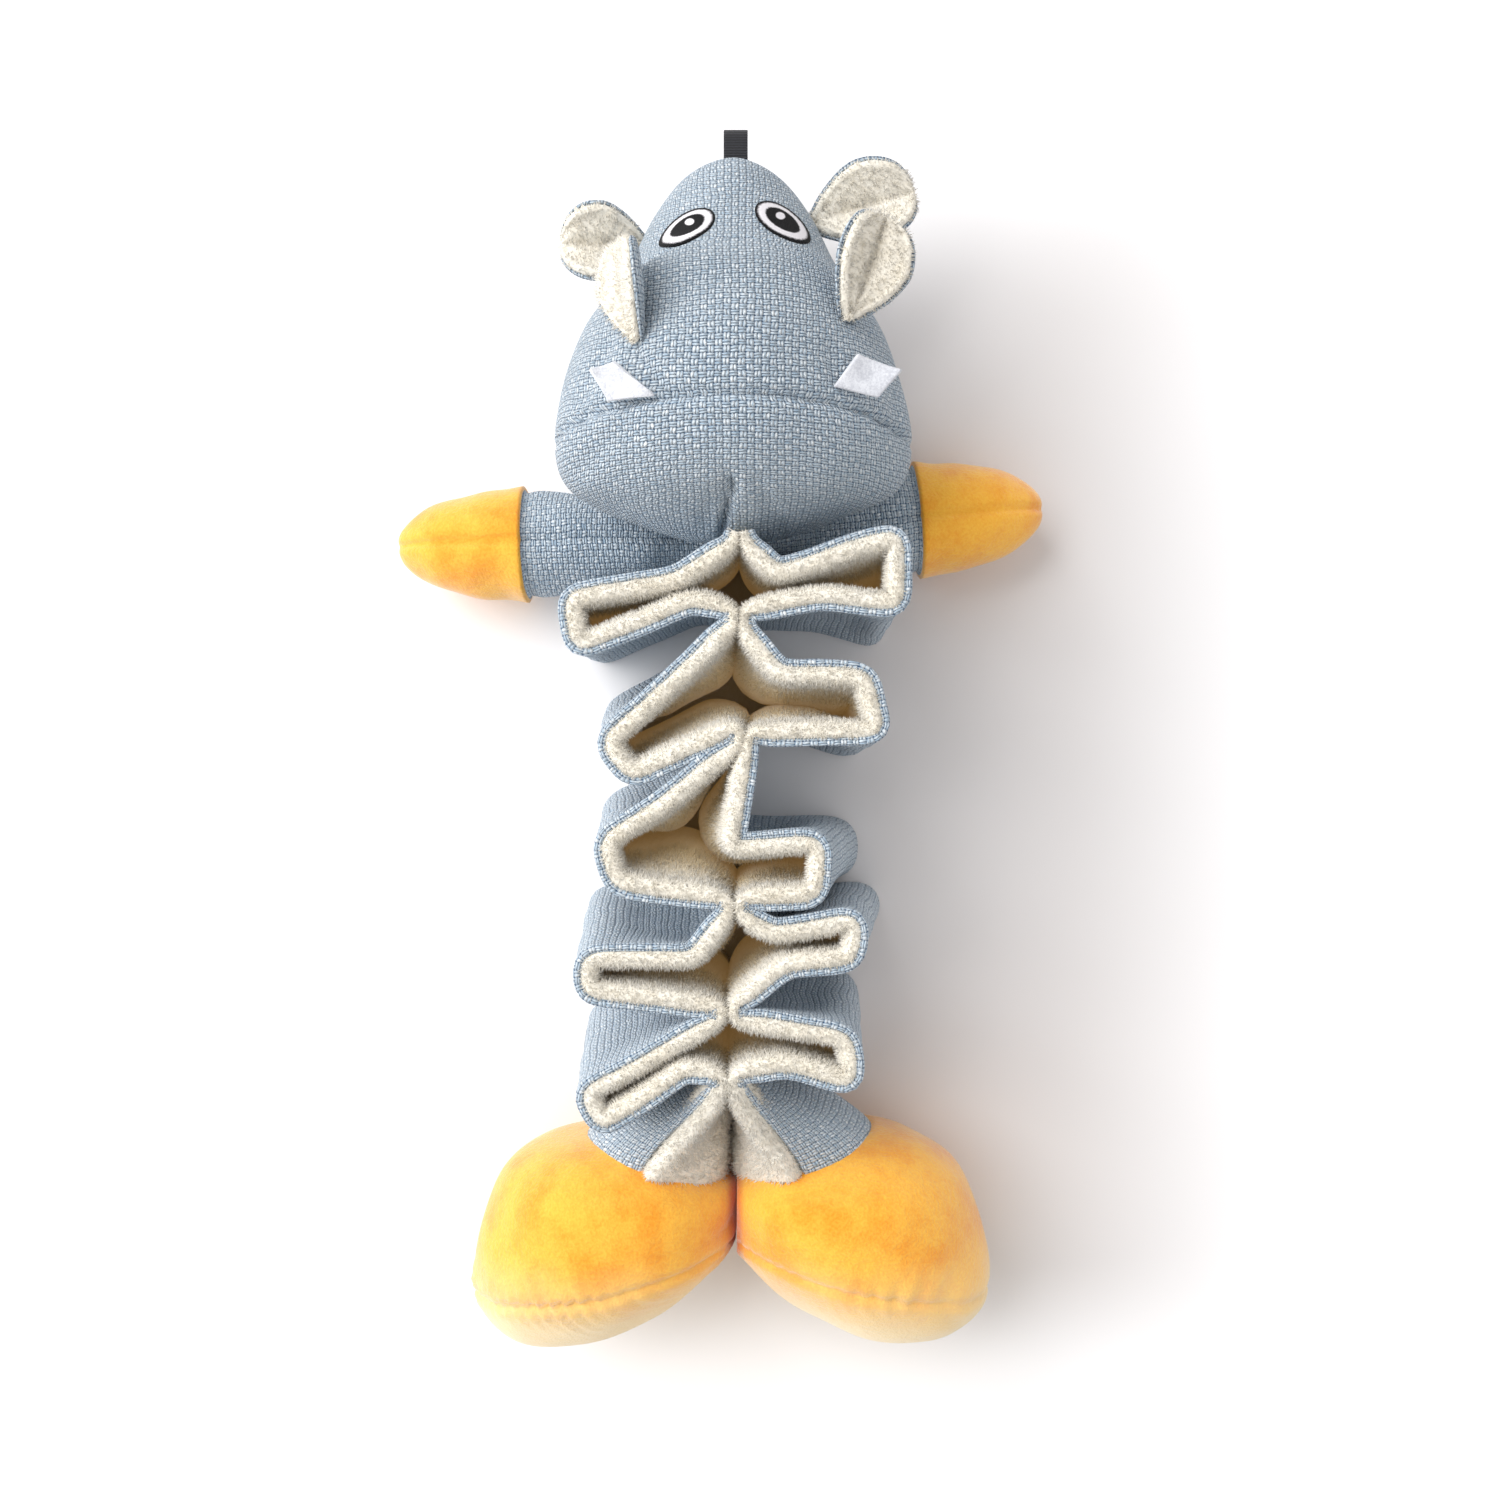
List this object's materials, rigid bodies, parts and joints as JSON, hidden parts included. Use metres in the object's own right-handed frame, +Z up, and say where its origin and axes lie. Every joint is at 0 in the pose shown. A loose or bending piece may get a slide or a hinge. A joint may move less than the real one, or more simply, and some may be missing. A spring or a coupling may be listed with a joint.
{
  "type": "plush dog toy",
  "caption": "Plush hippo dog toy lying on its back: a stuffed head, arms and feet on a body of two folded, tacked strips that leave open pockets for treats.",
  "frame": {"origin": "on the floor plane under the middle of the bounding box", "axes": "+Z up, +Y from the feet to the crown, +X to the toy's left seen from above with the head up"},
  "size_m": [0.1984, 0.3568, 0.1049],
  "materials": {
    "blue_weave": "heathered basket weave, dull",
    "cream_plush": "short cream plush, dull",
    "yellow_plush": "short yellow plush, dull",
    "fibre_fill": "loose polyester fibre, hidden",
    "squeaker_plastic": "translucent soft plastic, hidden",
    "black_thread": "dense satin stitching in black and white",
    "white_felt": "plain felt, dull",
    "black_ribbon": "fine ribbed ribbon",
    "seam_thread": "sewing thread"
  },
  "bodies": {
    "chest": {"tack_seam_0": "seam_thread", "left_fold_1_lining": "cream_plush", "left_fold_1_outer": "blue_weave", "right_fold_1_lining": "cream_plush", "right_fold_1_outer": "blue_weave"},
    "tack_1": {"tack_seam_1": "seam_thread", "left_fold_2_lining": "cream_plush", "left_fold_2_outer": "blue_weave", "right_fold_2_lining": "cream_plush", "right_fold_2_outer": "blue_weave"},
    "tack_2": {"tack_seam_2": "seam_thread", "left_fold_3_lining": "cream_plush", "left_fold_3_outer": "blue_weave", "right_fold_3_lining": "cream_plush", "right_fold_3_outer": "blue_weave"},
    "tack_3": {"tack_seam_3": "seam_thread", "left_fold_4_lining": "cream_plush", "left_fold_4_outer": "blue_weave", "right_fold_4_lining": "cream_plush", "right_fold_4_outer": "blue_weave"},
    "tack_4": {"tack_seam_4": "seam_thread", "left_fold_5_lining": "cream_plush", "left_fold_5_outer": "blue_weave", "right_fold_5_lining": "cream_plush", "right_fold_5_outer": "blue_weave"},
    "hips": {"tack_seam_5": "seam_thread", "left_leg_lining": "cream_plush", "left_leg_outer": "blue_weave", "right_leg_lining": "cream_plush", "right_leg_outer": "blue_weave"},
    "head": {"head_upper_cover": "blue_weave", "head_jaw_cover": "blue_weave", "head_filling": "fibre_fill", "squeaker": "squeaker_plastic", "left_eye": "black_thread", "right_eye": "black_thread", "left_flap_outer": "blue_weave", "left_flap_lining": "cream_plush", "right_flap_outer": "blue_weave", "right_flap_lining": "cream_plush", "left_tooth": "white_felt", "right_tooth": "white_felt"},
    "ribbon": {"ribbon_loop": "black_ribbon"},
    "left_ear": {"left_ear_outer": "blue_weave", "left_ear_lining": "cream_plush"},
    "left_arm": {"left_sleeve": "blue_weave", "left_paw": "yellow_plush", "left_filling": "fibre_fill"},
    "left_foot": {"left_foot_upper": "yellow_plush", "left_foot_sole": "yellow_plush", "left_foot_filling": "fibre_fill"},
    "right_ear": {"right_ear_outer": "blue_weave", "right_ear_lining": "cream_plush"},
    "right_arm": {"right_sleeve": "blue_weave", "right_paw": "yellow_plush", "right_filling": "fibre_fill"},
    "right_foot": {"right_foot_upper": "yellow_plush", "right_foot_sole": "yellow_plush", "right_foot_filling": "fibre_fill"}
  },
  "joints": [
    {"name": "stretch_1", "type": "slide", "parent": "chest", "child": "tack_1", "axis": [0, -1, 0], "range_m": [0, 0.025], "stiffness_N_per_m": 40, "deforming": ["left_fold_1_lining", "left_fold_1_outer", "right_fold_1_lining", "right_fold_1_outer"]},
    {"name": "stretch_2", "type": "slide", "parent": "tack_1", "child": "tack_2", "axis": [0, -1, 0], "range_m": [0, 0.025], "stiffness_N_per_m": 40, "deforming": ["left_fold_2_lining", "left_fold_2_outer", "right_fold_2_lining", "right_fold_2_outer"]},
    {"name": "stretch_3", "type": "slide", "parent": "tack_2", "child": "tack_3", "axis": [0, -1, 0], "range_m": [0, 0.025], "stiffness_N_per_m": 40, "deforming": ["left_fold_3_lining", "left_fold_3_outer", "right_fold_3_lining", "right_fold_3_outer"]},
    {"name": "stretch_4", "type": "slide", "parent": "tack_3", "child": "tack_4", "axis": [0, -1, 0], "range_m": [0, 0.025], "stiffness_N_per_m": 40, "deforming": ["left_fold_4_lining", "left_fold_4_outer", "right_fold_4_lining", "right_fold_4_outer"]},
    {"name": "stretch_5", "type": "slide", "parent": "tack_4", "child": "hips", "axis": [0, -1, 0], "range_m": [0, 0.025], "stiffness_N_per_m": 40, "deforming": ["left_fold_5_lining", "left_fold_5_outer", "right_fold_5_lining", "right_fold_5_outer"]},
    {"name": "neck_turn", "type": "hinge", "parent": "chest", "child": "head", "pos_m": [0.00596, 0.0576, 0.0525], "axis": [0, 0, 1], "range_deg": [-10, 10], "stiffness_Nm_per_rad": 0.1},
    {"name": "left_arm_swing", "type": "hinge", "parent": "chest", "child": "left_arm", "pos_m": [-0.0006, 0.062, 0.018], "axis": [0, 0, -1], "range_deg": [-20, 12], "stiffness_Nm_per_rad": 0.05, "deforming": ["left_sleeve"]},
    {"name": "right_arm_swing", "type": "hinge", "parent": "chest", "child": "right_arm", "pos_m": [0.0125, 0.0636, 0.018], "axis": [0, 0, 1], "range_deg": [-20, 5], "stiffness_Nm_per_rad": 0.05, "deforming": ["right_sleeve"]},
    {"name": "left_ankle_swing", "type": "hinge", "parent": "hips", "child": "left_foot", "pos_m": [-0.01832, -0.12097, 0.035], "axis": [0, 0, -1], "range_deg": [0, 20], "stiffness_Nm_per_rad": 0.05, "deforming": ["left_leg_lining", "left_leg_outer"]},
    {"name": "right_ankle_swing", "type": "hinge", "parent": "hips", "child": "right_foot", "pos_m": [0.02488, -0.11997, 0.035], "axis": [0, 0, 1], "range_deg": [0, 20], "stiffness_Nm_per_rad": 0.05, "deforming": ["right_leg_lining", "right_leg_outer"]},
    {"name": "left_ear_flop", "type": "hinge", "parent": "head", "child": "left_ear", "pos_m": [-0.02001, 0.1443, 0.0441], "axis": [-0.1219, 0.9925, 0], "range_deg": [-15, 35], "stiffness_Nm_per_rad": 0.01, "deforming": ["left_ear_outer", "left_ear_lining"]},
    {"name": "right_ear_flop", "type": "hinge", "parent": "head", "child": "right_ear", "pos_m": [0.02583, 0.1513, 0.0441], "axis": [0.342, -0.9397, 0], "range_deg": [-15, 35], "stiffness_Nm_per_rad": 0.01, "deforming": ["right_ear_outer", "right_ear_lining"]},
    {"name": "ribbon_flop", "type": "hinge", "parent": "head", "child": "ribbon", "pos_m": [0.0047, 0.1676, 0.04515], "axis": [1, 0, 0], "range_deg": [-50, 50], "stiffness_Nm_per_rad": 0.001}
  ],
  "couplings": [
    {"joint": "stretch_2", "follows": "stretch_1", "ratio": 1},
    {"joint": "stretch_3", "follows": "stretch_1", "ratio": 1},
    {"joint": "stretch_4", "follows": "stretch_1", "ratio": 1},
    {"joint": "stretch_5", "follows": "stretch_1", "ratio": 1}
  ]
}
